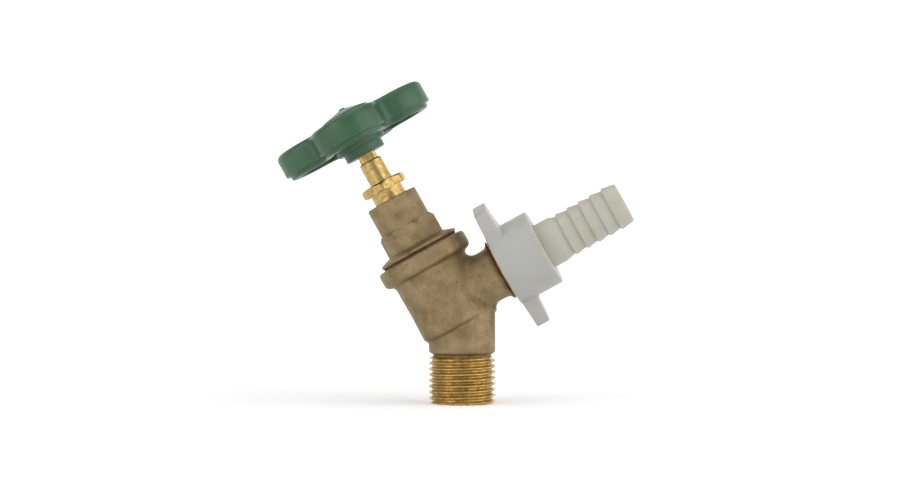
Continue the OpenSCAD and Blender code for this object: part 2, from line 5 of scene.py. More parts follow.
import bpy
import numpy as np
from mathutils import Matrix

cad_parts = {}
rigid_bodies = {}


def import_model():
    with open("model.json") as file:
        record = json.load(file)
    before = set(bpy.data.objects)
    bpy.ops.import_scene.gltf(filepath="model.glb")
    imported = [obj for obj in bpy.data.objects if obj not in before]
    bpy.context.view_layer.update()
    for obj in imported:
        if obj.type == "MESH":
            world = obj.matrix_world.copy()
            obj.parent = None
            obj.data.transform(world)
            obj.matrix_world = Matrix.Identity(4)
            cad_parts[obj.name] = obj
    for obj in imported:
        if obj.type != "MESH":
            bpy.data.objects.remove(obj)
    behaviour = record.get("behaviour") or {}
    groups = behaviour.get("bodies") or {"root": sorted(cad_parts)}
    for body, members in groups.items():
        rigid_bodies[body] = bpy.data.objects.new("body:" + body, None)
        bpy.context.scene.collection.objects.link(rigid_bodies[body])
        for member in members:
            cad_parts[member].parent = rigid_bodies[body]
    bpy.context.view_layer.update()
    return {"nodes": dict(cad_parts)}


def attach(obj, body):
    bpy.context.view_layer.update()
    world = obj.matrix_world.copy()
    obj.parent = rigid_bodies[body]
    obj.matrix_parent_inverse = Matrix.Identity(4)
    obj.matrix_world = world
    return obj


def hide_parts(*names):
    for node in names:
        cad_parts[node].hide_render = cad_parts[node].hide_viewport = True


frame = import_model()

# Body casting: the sand-cast brass body, whose barrel leans away from the inlet below it and
# whose outlet neck stands out at the side. The skins of its parts are fused, and their joins
# softened as in a sand mould, and then the waterway is bored through.
MM = 0.001
LEAN = math.radians(29)
UP_BONNET = np.array([-math.sin(LEAN), 0, math.cos(LEAN)])
ALONG_OUTLET = np.array([math.cos(LEAN), 0, math.sin(LEAN)])
ACROSS = np.array([0.0, 1.0, 0.0])
CROSSING = np.array([0.0, 0.0, 23.7])
OUTLET_ROOT = CROSSING + 9.9 * UP_BONNET
COLUMNS = 192


def on_inlet(x, y, z):
    """A point of the inlet's own space, which is the frame's, in metres."""
    return MM * np.stack(np.broadcast_arrays(x, y, z), axis=-1)


def on_bonnet(x, y, s):
    """x towards the outlet, y across and s up the bonnet axis from its crossing with the inlet."""
    x, y, s = (np.asarray(v, float)[..., None] for v in (x, y, s))
    return MM * (CROSSING + x * ALONG_OUTLET + y * ACROSS + s * UP_BONNET)


def on_outlet(x, y, u):
    """x down the bonnet axis, y across and u out along the outlet axis from the bonnet axis."""
    x, y, u = (np.asarray(v, float)[..., None] for v in (x, y, u))
    return MM * (OUTLET_ROOT - x * UP_BONNET + y * ACROSS + u * ALONG_OUTLET)


def turns(columns=COLUMNS):
    """Angles once round, as one row."""
    return np.linspace(0, 2 * math.pi, columns, endpoint=False)[None, :]


def turned(profile, space, columns=COLUMNS):
    """A profile of (radius, height) turned round its axis: (r cos a, r sin a, h)."""
    r, h = np.array(profile, float).T[:, :, None]
    a = turns(columns)
    return space(r * np.cos(a), r * np.sin(a), h + 0 * a)


def bend(centre, radius, start, stop, steps=8):
    """Profile points of a round corner: centre + radius (cos a, sin a), a from start to stop."""
    a = np.radians(np.linspace(start, stop, steps + 1))
    return [(centre[0] + radius * math.cos(t), centre[1] + radius * math.sin(t)) for t in a]


def mesh_of(name, skins):
    """One mesh of closed skins. Each is (grid, end): the columns of the grid of points join up,
    and its rows either join up as well ("ring") or are closed by a point at each end ("cap")."""
    points, quads, fans, first = [], [], [], 0
    for grid, end in skins:
        rows, columns = grid.shape[:2]
        index = first + np.arange(rows * columns).reshape(rows, columns)
        low = index if end == "ring" else index[:-1]
        high = np.roll(index, -1, axis=0) if end == "ring" else index[1:]
        quads.append(np.stack([low, np.roll(low, -1, axis=1), np.roll(high, -1, axis=1), high],
                              axis=-1).reshape(-1, 4))
        points.append(grid.reshape(-1, 3))
        first += rows * columns
        if end == "cap":
            points.append(grid[[0, -1]].mean(axis=1))
            for ring, middle in ((index[0][::-1], first), (index[-1], first + 1)):
                fans.append(np.stack([ring, np.roll(ring, -1), np.full(columns, middle)], axis=-1))
            first += 2
    faces = [face for part in quads + fans for face in part.tolist()]
    mesh = bpy.data.meshes.new(name)
    mesh.from_pydata(np.concatenate(points).tolist(), [], faces)
    mesh.update()
    return mesh


def piece(name, skins, material, body, replaced=(), crease=40):
    """A piece made of closed skins, with its finish, the body that it rides on and the frame's parts
    that it replaces, which are hidden.
    """
    thing = bpy.data.objects.new(name, mesh_of(name, skins))
    bpy.context.scene.collection.objects.link(thing)
    finish(thing, material, body, replaced, crease)
    return thing


def finish(thing, material, body, replaced=(), crease=40):
    """Shades a piece smooth but for its creases, and hands it to the frame."""
    thing.data.materials.clear()
    thing.data.materials.append(material)
    thing.data.shade_smooth()
    thing.data.set_sharp_from_angle(angle=math.radians(crease))
    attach(thing, body)
    if replaced:
        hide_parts(*replaced)


def fused(name, thing):
    """The mesh of a piece with its modifiers applied."""
    result = thing.evaluated_get(bpy.context.evaluated_depsgraph_get())
    mesh = bpy.data.meshes.new_from_object(result)
    mesh.name = name
    return mesh


class Finish:
    """A material whose nodes are added one by one, with the piece's own coordinates."""

    def __init__(self, name, colour, roughness, metallic=0.0):
        self.material = bpy.data.materials.new(name)
        self.material.use_nodes = True
        self.tree = self.material.node_tree
        self.shader = self.tree.nodes["Principled BSDF"]
        self.set(Base_Color=colour + (1,), Roughness=roughness, Metallic=metallic)
        self.place = self.node("TexCoord").outputs["Object"]

    def set(self, **values):
        for key, value in values.items():
            self.shader.inputs[key.replace("_", " ")].default_value = value

    def node(self, kind, **values):
        node = self.tree.nodes.new("ShaderNode" + kind)
        for key, value in values.items():
            setattr(node, key, value)
        return node

    def plug(self, source, node, key):
        target = node.inputs[key]
        if isinstance(source, (int, float, tuple)):
            target.default_value = source
        else:
            self.tree.links.new(source, target)

    def turned_to(self, axis_angle=0.0, scale=(1, 1, 1)):
        """The piece's coordinates turned about Y, and then scaled."""
        turn = self.node("Mapping", vector_type="POINT")
        turn.inputs["Rotation"].default_value = (0, axis_angle, 0)
        self.plug(self.place, turn, "Vector")
        size = self.node("Mapping", vector_type="POINT")
        size.inputs["Scale"].default_value = scale
        self.plug(turn.outputs[0], size, "Vector")
        return size.outputs[0]

    def noise(self, size, detail=3, rough=0.5, place=None):
        """Cloudy noise with blobs of about the given size in metres."""
        node = self.node("TexNoise")
        self.plug(place or self.place, node, "Vector")
        self.plug(1 / size, node, "Scale")
        self.plug(float(detail), node, "Detail")
        self.plug(rough, node, "Roughness")
        return node.outputs["Fac"]

    def spots(self, size, place=None):
        """Distance to scattered points that lie about the given size apart, in metres."""
        node = self.node("TexVoronoi", feature="F1")
        self.plug(place or self.place, node, "Vector")
        self.plug(1 / size, node, "Scale")
        return node.outputs["Distance"]

    def ramp(self, source, *stops):
        """Colours or grey levels along a value: stops are (position, colour or level)."""
        node = self.node("ValToRGB")
        marks = node.color_ramp.elements
        while len(marks) < len(stops):
            marks.new(0.5)
        for mark, (at, value) in zip(marks, stops):
            mark.position = at
            mark.color = tuple(value) + (1,) if hasattr(value, "__len__") else (value,) * 3 + (1,)
        self.plug(source, node, "Fac")
        return node.outputs["Color"]

    def maths(self, operation, a, b):
        node = self.node("Math", operation=operation)
        self.plug(a, node, 0)
        self.plug(b, node, 1)
        return node.outputs[0]

    def mix(self, amount, a, b, blend="MIX"):
        node = self.node("Mix", data_type="RGBA", blend_type=blend)
        self.plug(amount, node, 0)
        self.plug(a, node, 6)
        self.plug(b, node, 7)
        return node.outputs[2]

    def bump(self, height, depth, below=None):
        """Bumps whose height from 0 to 1 stands for the given depth in metres."""
        node = self.node("Bump")
        self.plug(1.0, node, "Strength")
        self.plug(depth, node, "Distance")
        self.plug(height, node, "Height")
        if below is not None:
            self.plug(below, node, "Normal")
        self.plug(node.outputs[0], self.shader, "Normal")
        return node.outputs[0]


def cast_brass_finish(name):
    """Sand-cast brass: olive brown, mottled, with the grain of the sand and small pits."""
    f = Finish(name, (0.30, 0.22, 0.115), 0.5, 0.9)
    mottle = f.noise(0.0045, 4, 0.6)
    grain = f.noise(0.00045, 3, 0.6)
    tone = f.ramp(mottle, (0.3, (0.25, 0.175, 0.085)), (0.5, (0.33, 0.24, 0.125)),
                  (0.72, (0.42, 0.315, 0.18)))
    fine = f.ramp(grain, (0.3, 0.72), (0.7, 1.0))
    f.plug(f.mix(1.0, tone, fine, "MULTIPLY"), f.shader, "Base Color")
    f.plug(f.maths("MULTIPLY_ADD", grain, 0.25), f.shader, "Roughness")
    f.shader.inputs["Roughness"].links[0].from_node.inputs[2].default_value = 0.38
    pits = f.ramp(f.spots(0.0011), (0.0, 0.0), (0.28, 1.0))
    where = f.ramp(f.noise(0.006, 2), (0.5, 1.0), (0.6, 0.0))
    pitted = f.maths("MAXIMUM", pits, where)
    rough = f.bump(grain, 0.00022)
    f.bump(pitted, 0.00025, rough)
    return f.material


cast_brass = cast_brass_finish("sand_cast_brass")

BARREL_R = 12.3
COLLAR_R = 15.0
NECK_R = 8.25
SPIGOT_R = 10.4775
FLARE_END = 19.3
FLARE_R = SPIGOT_R - NECK_R
barrel_skin = turned(
    [(11.0, 0.9)] + bend((10.4, 2.65), 1.9, -70, 0) + [(12.15, 10), (12.3, 17)]
    + bend((14.2, 19.75), 1.9, 180, 125, 4) + bend((13.2, 23.05), 1.8, -75, 0, 6)
    + [(15.0, 26.2), (14.7, 26.8), (14.0, 27.0), (13.1, 27.0), (13.1, 26.7), (10.6, 26.7)],
    on_bonnet)
neck_skin = turned([(9.0, 3.0), (9.0, 15.6), (10.0, 15.9), (10.4, 16.3), (10.4, 19.0), (10.4, 25.0)],
                   on_inlet)
neck_skin[-1, :, 2] = MM * 25.5 + neck_skin[-1, :, 0] * math.tan(LEAN)
outlet_skin = turned(
    [(NECK_R, 1.0), (NECK_R, FLARE_END - FLARE_R - 1.5)]
    + bend((SPIGOT_R, FLARE_END - FLARE_R), FLARE_R - 0.05, 180, 95)
    + [(SPIGOT_R + 0.05, FLARE_END - 0.3), (SPIGOT_R, FLARE_END), (8.8, FLARE_END + 0.1),
       (8.8, 28.2)], on_outlet)


def saddle(radius, neck_r, barrel_r, low=-1.0):
    """The hollow round a neck where it meets the barrel: a ball of the given radius rolls round,
    its centre at neck_r + radius from the neck's axis and barrel_r + radius from the barrel's,
    and each column is its arc from the neck to the barrel, closed inside both."""
    a = turns()
    x, y = np.cos(a), np.sin(a)
    centre_u = np.sqrt((barrel_r + radius) ** 2 - ((neck_r + radius) * y) ** 2)
    swing = np.arctan2(centre_u, (neck_r + radius) * y)
    t = np.linspace(0, 1, 9)[:, None]
    to_neck = np.stack([-x, -y, 0 * a], axis=-1)
    to_barrel = np.stack([0 * a, -np.cos(swing), -np.sin(swing)], axis=-1)
    way = (1 - t)[..., None] * to_neck + t[..., None] * to_barrel
    way /= np.linalg.norm(way, axis=-1, keepdims=True)
    centre = np.stack([(neck_r + radius) * x, (neck_r + radius) * y, centre_u], axis=-1)
    arc = centre + radius * way
    inner = centre + (radius + 2.5) * (to_neck + to_barrel) / np.linalg.norm(
        to_neck + to_barrel, axis=-1, keepdims=True)
    grid = np.concatenate([arc[::-1], inner])
    return on_outlet(grid[..., 0], grid[..., 1], grid[..., 2])


casting = bpy.data.objects.new("tap_casting", mesh_of("tap_casting", [
    (barrel_skin, "cap"), (neck_skin, "cap"), (outlet_skin, "cap"),
    (saddle(2.4, NECK_R, BARREL_R), "ring")]))
bpy.context.scene.collection.objects.link(casting)
grid_size = casting.modifiers.new("fuse", "REMESH")
grid_size.mode = "VOXEL"
grid_size.voxel_size = 0.00032
soften = casting.modifiers.new("soften", "SMOOTH")
soften.factor = 0.5
soften.iterations = 8

for bore_skin in (
        turned([(7.0, -2.0), (7.0, 10.0)] + bend((0, 14.0), 7.0, 0, 80), on_inlet),
        turned([(5.5, -6.0), (5.5, 4.2), (8.0, 4.2), (8.0, 2.0), (9.6, 2.0), (9.6, 19.2),
                (10.5, 19.2), (10.5, 30.0)], on_bonnet),
        turned([(6.0, 8.6), (6.0, 30.0)], on_outlet)):
    drill = bpy.data.objects.new("drill", mesh_of("drill", [(bore_skin, "cap")]))
    bore = casting.modifiers.new("bore", "BOOLEAN")
    bore.operation = "DIFFERENCE"
    bore.object = drill
    bore.solver = "MANIFOLD"
casting.data = fused("tap_casting", casting)
casting.modifiers.clear()
for drill in [d for d in bpy.data.objects if d.name.startswith("drill")]:
    bpy.data.objects.remove(drill)
finish(casting, cast_brass, "tap_body", ["body"], 50)

# Inlet and outlet threads: half-inch parallel pipe threads, cut on the casting, so they are
# bright. Each is a sleeve over the casting's plain core, 14 turns to the inch.
PITCH = 25.4 / 14
CREST_R = 10.4775
DEPTH = 1.162
BORE_R = {"inlet": 7.0, "outlet": 6.0}


def thread_sleeve(length, bore_r, space, start=0.0, lead_in=0.9, run_out=0.5, per_turn=14):
    """r = crest - depth w, where w rises smoothly from the crest to the root with the distance
    along the helix (h / pitch - a / 360), and the ends are turned down by a chamfer."""
    a = turns(160)
    h = np.linspace(0, length, int(length / PITCH * per_turn) + 1)[:, None]
    phase = (h / PITCH - a / (2 * math.pi)) % 1.0
    wave = np.abs(2 * phase - 1)
    flank = np.clip((wave - 0.14) / 0.72, 0, 1)
    cut = DEPTH * (flank * flank * (3 - 2 * flank) * 0.35 + flank * 0.65)
    ends = np.clip((lead_in - h) / lead_in, 0, 1) * 1.0
    tail = np.clip((h - length + run_out) / run_out, 0, 1) * DEPTH
    r = np.minimum(CREST_R - cut, CREST_R - np.maximum(ends, tail))
    inner = np.full_like(r[:1], bore_r)
    r = np.concatenate([r, r[-1:] * 0 + CREST_R - DEPTH - 0.25, inner, inner])
    h = np.concatenate([h + 0 * a, inner * 0 + length, inner * 0 + length, inner * 0])
    return space(r * np.cos(a), r * np.sin(a), start + h)


def cut_brass_finish(name, axis_turn, middle):
    """Turned brass: golden, with the fine rings of the tool and a few dull specks."""
    f = Finish(name, (0.50, 0.34, 0.12), 0.3, 1.0)
    rings = f.noise(0.0004, 2, 0.6, f.turned_to(axis_turn, (0.12, 0.12, 1.0)))
    dull = f.noise(0.0016, 4, 0.65)
    tone = f.ramp(dull, (0.28, (0.30, 0.19, 0.055)), (0.46, (0.48, 0.33, 0.12)),
                  (0.7, (0.60, 0.43, 0.18)))
    f.plug(tone, f.shader, "Base Color")
    f.plug(f.ramp(dull, (0.3, 0.42), (0.6, 0.24)), f.shader, "Roughness")
    f.bump(rings, 0.00004, f.bump(dull, 0.00006))
    return f.material


cut_brass = cut_brass_finish("cut_brass_inlet", 0.0, 0)
piece("inlet_thread", [(thread_sleeve(14.9, 7.0, on_inlet), "ring")], cut_brass, "tap_body",
      crease=60)
piece("outlet_thread", [(thread_sleeve(9.1, 6.0, on_outlet, FLARE_END + 0.1), "ring")],
      cut_brass_finish("cut_brass_outlet", math.radians(90) - LEAN, 0), "tap_body",
      crease=60)

# Bonnet: cast brass screwed into the collar. Its flange ring is machined bright, and above
# it stand a cast hexagon with soft corners and a round sleeve.
HEX_FLAT = 8.5
HEX_CORNER = 9.65
SLEEVE_R = 8.35
HEX_TURN = math.radians(-3.6)


def lesser(a, b, soft):
    """The lesser of two values, with the step between them rounded over about soft."""
    return 0.5 * (a + b - np.sqrt((a - b) ** 2 + soft * soft))


def greater(a, b, soft):
    """The greater of two values, with the step between them rounded over about soft."""
    return 0.5 * (a + b + np.sqrt((a - b) ** 2 + soft * soft))


def hexed(profile, flat, turn, low, high, space, soft, floor_r=0.0, columns=384):
    """A profile turned round its axis, and cut to a hexagon between two heights:
    r = lesser(profile, flat / cos(angle from the middle of the nearest flat))."""
    r, h = np.array(profile, float).T[:, :, None]
    a = turns(columns)
    away = (a - turn) % (math.pi / 3) - math.pi / 6
    cut = lesser(r + 0 * a, flat / np.cos(away), soft)
    cut = greater(cut, floor_r, soft * 0.5) if floor_r else cut
    r = np.where((h > low) & (h < high), cut, r)
    return space(r * np.cos(a), r * np.sin(a), h + 0 * a)


def spaced(start, stop, count):
    """Profile points spread evenly between two points."""
    t = np.linspace(0, 1, count)
    return [(start[0] + (stop[0] - start[0]) * k, start[1] + (stop[1] - start[1]) * k) for k in t]


bonnet_grid = hexed(
    [(9.9, 19.6), (10.4, 20.2), (10.4, 27.7), (12.7, 27.7)]
    + bend((12.7, 27.95), 0.3, -90, 0, 3) + bend((12.6, 28.4), 0.4, 0, 60, 4)
    + spaced((12.5, 28.85), (9.95, 29.75), 8) + spaced((9.72, 29.9), (9.66, 35.4), 12)
    + spaced((9.62, 35.7), (8.5, 36.9), 10) + [(8.4, 37.1), (8.36, 37.5), (8.35, 40), (8.35, 43)]
    + bend((7.95, 45.6), 0.4, 0, 90, 5) + [(5.35, 46.0), (5.35, 38.0), (3.8, 38.0), (3.8, 37.0),
       (5.55, 37.0), (5.55, 19.6)],
    HEX_FLAT, HEX_TURN, 29.85, 37.3, on_bonnet, 0.22, SLEEVE_R - 0.02)
piece("bonnet_casting", [(bonnet_grid, "ring")], cast_brass, "tap_body", ["bonnet"],
      crease=50)

# Gland nut: turned from hexagon bar, bright all over, and screwed into the bonnet.
bar_brass = cut_brass_finish("cut_brass_bar", -LEAN, 0)
gland_grid = hexed(
    spaced((5.25, 42.0), (5.25, 49.2), 6) + [(5.3, 49.4)] + spaced((7.2, 49.4), (7.6, 49.55), 4)
    + spaced((7.65, 49.7), (7.65, 51.5), 8) + spaced((7.6, 51.65), (6.9, 52.15), 6)
    + [(6.6, 52.2), (4.1, 52.2), (3.85, 51.9), (3.85, 42.0)],
    7.0, math.radians(27), 49.3, 52.3, on_bonnet, 0.1)
piece("gland_nut_turned", [(gland_grid, "ring")], bar_brass, "tap_body",
      ["gland_nut"], crease=35)

# Spindle: a turned brass rod with a thread, a polished stem and a square end in the wheel.
SQUARE_HALF = 2.9


def squared(profile, half, low, space, soft=0.25, columns=192):
    """A profile turned round its axis, and cut to a square above a height:
    r = lesser(profile, half / cos(angle from the middle of the nearest side))."""
    r, h = np.array(profile, float).T[:, :, None]
    a = turns(columns)
    away = (a + math.pi / 4) % (math.pi / 2) - math.pi / 4
    r = np.where(h > low, lesser(r + 0 * a, half / np.cos(away), soft), r + 0 * a)
    return space(r * np.cos(a), r * np.sin(a), h + 0 * a)


spindle_grid = squared(
    [(0.5, 9.1), (5.9, 9.1), (6.4, 9.6), (6.4, 13.6), (5.9, 14.1), (4.7, 14.1), (4.7, 18.4),
     (5.5, 19.2), (5.5, 30.9), (4.7, 31.7), (3.75, 31.7)] + spaced((3.75, 40), (3.75, 59.3), 8)
    + bend((3.4, 59.4), 0.35, 0, 90, 5) + [(3.2, 59.8), (3.55, 59.85)]
    + spaced((3.6, 60.0), (3.6, 70.6), 6) + [(0.5, 70.8)],
    SQUARE_HALF, 59.82, on_bonnet)
piece("spindle_turned", [(spindle_grid, "cap")], bar_brass, "spindle_group",
      ["spindle"], crease=35)

# Handwheel: one dark green plastic moulding with four lobes round a hub. It is hollow
# underneath, with a thick rim, four ribs and a boss that sits on the spindle's square.
LOBE_REACH = 14.0
LOBE_R = 11.6
VALLEY_R = 3.0
VALLEY_REACH = (LOBE_REACH * math.cos(math.pi / 4)
                + math.sqrt((LOBE_R + VALLEY_R) ** 2 - (LOBE_REACH * math.sin(math.pi / 4)) ** 2))


def lobed(a, inset):
    """Radius of the wheel's outline moved inwards by inset: near a lobe's middle the far side of
    its circle, c cos a + sqrt(R^2 - c^2 sin^2 a), and past the point where the two circles
    touch, the near side of the valley's circle."""
    away = (a + math.pi / 4) % (math.pi / 2) - math.pi / 4
    big, small = LOBE_R - inset, VALLEY_R + inset
    side = LOBE_REACH * np.sin(away)
    lobe = LOBE_REACH * np.cos(away) + np.sqrt(np.maximum(big * big - side * side, 0))
    off = math.pi / 4 - np.abs(away)
    side = VALLEY_REACH * np.sin(off)
    valley = VALLEY_REACH * np.cos(off) - np.sqrt(np.maximum(small * small - side * side, 0))
    join = np.array([VALLEY_REACH * math.cos(math.pi / 4), VALLEY_REACH * math.sin(math.pi / 4)])
    touch = np.array([LOBE_REACH, 0]) + (join - [LOBE_REACH, 0]) * big / (big + small)
    return np.where(np.abs(away) < math.atan2(touch[1], touch[0]), lobe, valley)


def wheel_grid(columns=640):
    """Rows from the recess in the top out over the web and down round its edge. A row is (inset,
    circle, share, height):
    the radius is the outline at inset, blended by share to a circle."""
    a = turns(columns)
    rows = [(2.4, 6.5, t, 75.0) for t in np.linspace(1, 0, 10)]
    rows += [(1.9 + 1.9 * math.cos(t) * 1.0 - 1.9, 0, 0, 73.1 + 1.9 * math.sin(t))
             for t in np.radians(np.linspace(90, 0, 9))]
    return rows


def wheel_rows():
    skirt = [(2.0 - 2.0 * math.cos(t), 0, 0, 73.0 + 2.0 * math.sin(t))
             for t in np.radians(np.linspace(90, 0, 10))]
    low = [(0.5 - 0.5 * math.cos(t), 0, 0, 67.85 - 0.5 * math.sin(t))
           for t in np.radians(np.linspace(0, 90, 5))]
    rim = [(2.1 - 0.8 * math.cos(t), 0, 0, 66.6 - 0.8 * math.sin(t))
           for t in np.radians(np.linspace(0, 90, 6))]
    top = [(2.0, 6.5, t, 75.0) for t in np.linspace(1, 0.06, 9)]
    wall = [(3.8, 0, 0, 65.85), (4.1, 0, 0, 66.1), (4.2, 0, 0, 66.6), (4.2, 0, 0, 69.0),
            (4.2, 0, 0, 71.3), (4.5, 0, 0, 71.75)]
    ceiling = [(4.9, 8.25, t, 71.8) for t in np.linspace(0, 1, 7)]
    hub = [(0, r, 1, h) for r, h in ((8.25, 65.1), (8.05, 64.75), (7.9, 64.7), (6.65, 64.7),
                                     (6.6, 64.6), (6.6, 62.4), (6.4, 62.15), (6.2, 62.1))]
    recess = [(0, 6.5, 1, 71.2), (0, 6.5, 1, 74.8)]
    bore_rows = [(0, -3.0, 1, 62.1), (0, -3.0, 1, 71.2)]
    return (recess[::1] + top + skirt + low + [(1.2, 0, 0, 67.35)] + [(1.3, 0, 0, 67.2)] + rim
            + wall + ceiling + hub + bore_rows)


def wheel_points(columns=640):
    """The wheel's grid: radius = (1 - share) outline(inset) + share circle. A circle of less
    than nothing stands for the square hole of that half width."""
    a = turns(columns)
    out = []
    away = (a + math.pi / 4) % (math.pi / 2) - math.pi / 4
    for inset, circle, share, height in wheel_rows():
        ring = circle if circle >= 0 else lesser(-circle / np.cos(away), 3.9, 0.15)
        r = (1 - share) * (lobed(a, inset) if share < 1 else 0) + share * ring
        out.append(np.stack([r * np.cos(a), r * np.sin(a), height + 0 * a], axis=-1)[0])
    grid = np.array(out)[::-1]
    return on_bonnet(grid[..., 1], -grid[..., 0], grid[..., 2])


def slab(x, y, s, space):
    """A bar with rounded long edges: a superellipse section of half sizes y and s, in rows from
    one end to the other."""
    a = turns(24)
    power = 0.4
    c, d = np.cos(a), np.sin(a)
    section_y = (y[0] + y[1]) / 2 + (y[1] - y[0]) / 2 * np.sign(c) * np.abs(c) ** power
    section_s = (s[0] + s[1]) / 2 + (s[1] - s[0]) / 2 * np.sign(d) * np.abs(d) ** power
    along = np.linspace(x[0], x[1], 5)[:, None]
    return space(along + 0 * a, section_y + 0 * along, section_s + 0 * along)


def green_plastic_finish(name):
    """Moulded plastic: dark green, softly glossy, with faint clouding and handling marks."""
    f = Finish(name, (0.03, 0.10, 0.045), 0.35)
    cloud = f.noise(0.006, 3, 0.55)
    f.plug(f.ramp(cloud, (0.3, (0.024, 0.085, 0.036)), (0.7, (0.036, 0.115, 0.052))), f.shader,
           "Base Color")
    scuff = f.noise(0.0009, 4, 0.6)
    f.plug(f.ramp(scuff, (0.35, 0.30), (0.7, 0.42)), f.shader, "Roughness")
    f.bump(f.noise(0.0004, 3, 0.6), 0.00002)
    return f.material


wheel_green = green_plastic_finish("green_plastic")


def rib_space(turn):
    """The wheel's own space turned about the bonnet axis."""
    c, d = math.cos(turn), math.sin(turn)
    return lambda x, y, s: on_bonnet(c * x - d * y, d * x + c * y, s)


piece("handwheel_moulding", [(wheel_points(), "ring")] + [
    (slab((7.5, 14.2), (-1, 1), (66.8, 72.2), rib_space(math.radians(45 + 90 * i))), "cap")
    for i in range(4)], wheel_green, "spindle_group", ["handwheel"], crease=50)

# Cap: a green plastic disc pressed into the hub over the screw, a shallow cone with a nub.
cap_grid = turned(
    [(5.4, 72.9), (6.35, 72.9), (6.35, 75.0), (7.9, 75.0)] + bend((7.85, 75.25), 0.25, -90, 0, 3)
    + bend((7.7, 76.2), 0.4, 0, 70, 5) + spaced((7.5, 76.7), (1.3, 78.15), 10)
    + bend((0.75, 78.2), 0.35, 0, 90, 4) + [(0.2, 78.5), (0.2, 76.0), (5.4, 76.0)], on_bonnet)
piece("wheel_cap_moulding", [(cap_grid, "ring")], wheel_green, "spindle_group",
      ["wheel_cap"], crease=45)

# Hose tail: a natural cream plastic moulding with a flange in the nut and five barbs.
BARB_START = 42.2
BARB_PITCH = 4.05


def cream_plastic_finish(name):
    """Moulded natural plastic: cream, slightly see-through, nearly matt."""
    f = Finish(name, (0.50, 0.49, 0.41), 0.42)
    cloud = f.noise(0.008, 2, 0.5)
    f.plug(f.ramp(cloud, (0.3, (0.48, 0.47, 0.385)), (0.7, (0.52, 0.51, 0.43))), f.shader,
           "Base Color")
    f.set(Subsurface_Weight=0.25, Subsurface_Scale=0.002)
    f.bump(f.noise(0.0005, 3, 0.6), 0.00002)
    return f.material


def barb_rows(start, length, low_r, high_r):
    """One barb: a short rise out to a rounded lip, then a long cone back down."""
    return [(low_r, start + 0.05), (high_r - 0.15, start + 0.5), (high_r, start + 0.65),
            (high_r - 0.05, start + 0.9), (low_r + 0.08, start + length - 0.1)]


tail_profile = [(5.0, 30.3), (9.2, 30.3), (9.2, 32.3), (7.4, 32.3), (7.4, 39.8), (7.3, 40.1)]
for barb in range(5):
    tail_profile += barb_rows(BARB_START + barb * BARB_PITCH, BARB_PITCH + (barb == 4) * 0.6, 6.55,
                              7.25)
tail_profile += [(6.5, 63.2), (6.3, 63.5), (5.2, 63.5), (5.0, 63.3)]
piece("hose_tail_moulding", [(turned(tail_profile, on_outlet), "ring")],
      cream_plastic_finish("cream_plastic"), "tail_group", ["hose_tail"], crease=30)

# Union nut: a white plastic moulding that draws the hose tail onto the outlet thread. Two
# flat wings with rounded corners stand out from its rim.
NUT_R = 12.5
WING_TURN = math.radians(18)


def wing_reach(a):
    """Radius of the outline of the nut's rim with its wings: the greater of the nut's circle and
    of a bar, whose radius is the lesser of its length and of its half width / sin a."""
    away = (a - WING_TURN + math.pi / 2) % math.pi - math.pi / 2
    wide = 6.25 / np.maximum(np.abs(np.sin(away)), 0.05)
    long = 21.0 / np.cos(away)
    bar = (wide ** -7 + long ** -7) ** (-1 / 7)
    return greater(bar, NUT_R, 0.5)


def nut_grid(columns=600):
    """Rows up the outside of the nut, with the rows of the wings pushed out to wing_reach, and
    then down its bore."""
    a = turns(columns)
    reach = wing_reach(a)
    out = np.clip((reach - NUT_R) / (21.0 - NUT_R), 0, 1)
    rows = [(12.1 + 0 * a, 20.2 + 0 * a), (12.4 + 0 * a, 20.4 + 0 * a)]
    low, high = 20.5 + 0.35 * out, 25.6 - 0.35 * out
    rows += [(NUT_R + 0 * a, 20.5 + 0 * a)]
    rows += [(NUT_R + (reach - NUT_R) * t, 20.5 + 0.35 * out * t) for t in (0.2, 0.5, 0.8)]
    for t in np.radians(np.linspace(-90, 0, 5)):
        rows += [(np.maximum(reach - 0.5 + 0.5 * math.cos(t), NUT_R), low + 0.5 + 0.5 * math.sin(t))]
    for t in np.radians(np.linspace(0, 90, 5)):
        rows += [(np.maximum(reach - 0.5 + 0.5 * math.cos(t), NUT_R), high - 0.5 + 0.5 * math.sin(t))]
    rows += [(NUT_R + (reach - NUT_R) * t, 25.6 - 0.35 * out * t + 0.5 * (1 - t) ** 4)
             for t in (0.8, 0.5, 0.2, 0.08, 0.0)]
    rows += [(NUT_R + 0 * a, h + 0 * a) for h in (27.5, 30.0, 33.0, 34.4)]
    rows += [(12.35 + 0 * a, 34.75 + 0 * a), (12.0 + 0 * a, 34.9 + 0 * a)]
    rows += [(r + 0 * a, h + 0 * a) for r, h in ((7.9, 34.9), (7.65, 34.6), (7.65, 32.3),
                                                 (10.53, 32.3), (10.53, 20.2))]
    r = np.concatenate([row[0] for row in rows])
    u = np.concatenate([row[1] for row in rows])
    return on_outlet(r * np.cos(a), r * np.sin(a), u)


def white_plastic_finish(name):
    """Moulded natural plastic: greyish white, cloudy, slightly see-through, softly glossy."""
    f = Finish(name, (0.47, 0.47, 0.44), 0.38)
    cloud = f.noise(0.01, 3, 0.5)
    f.plug(f.ramp(cloud, (0.3, (0.45, 0.45, 0.42)), (0.7, (0.49, 0.49, 0.465))), f.shader,
           "Base Color")
    f.set(Subsurface_Weight=0.3, Subsurface_Scale=0.003)
    f.bump(f.noise(0.0006, 3, 0.6), 0.00002)
    return f.material


piece("union_nut_moulding", [(nut_grid(), "ring")], white_plastic_finish("white_plastic"),
      "nut_group", ["union_nut"], crease=35)

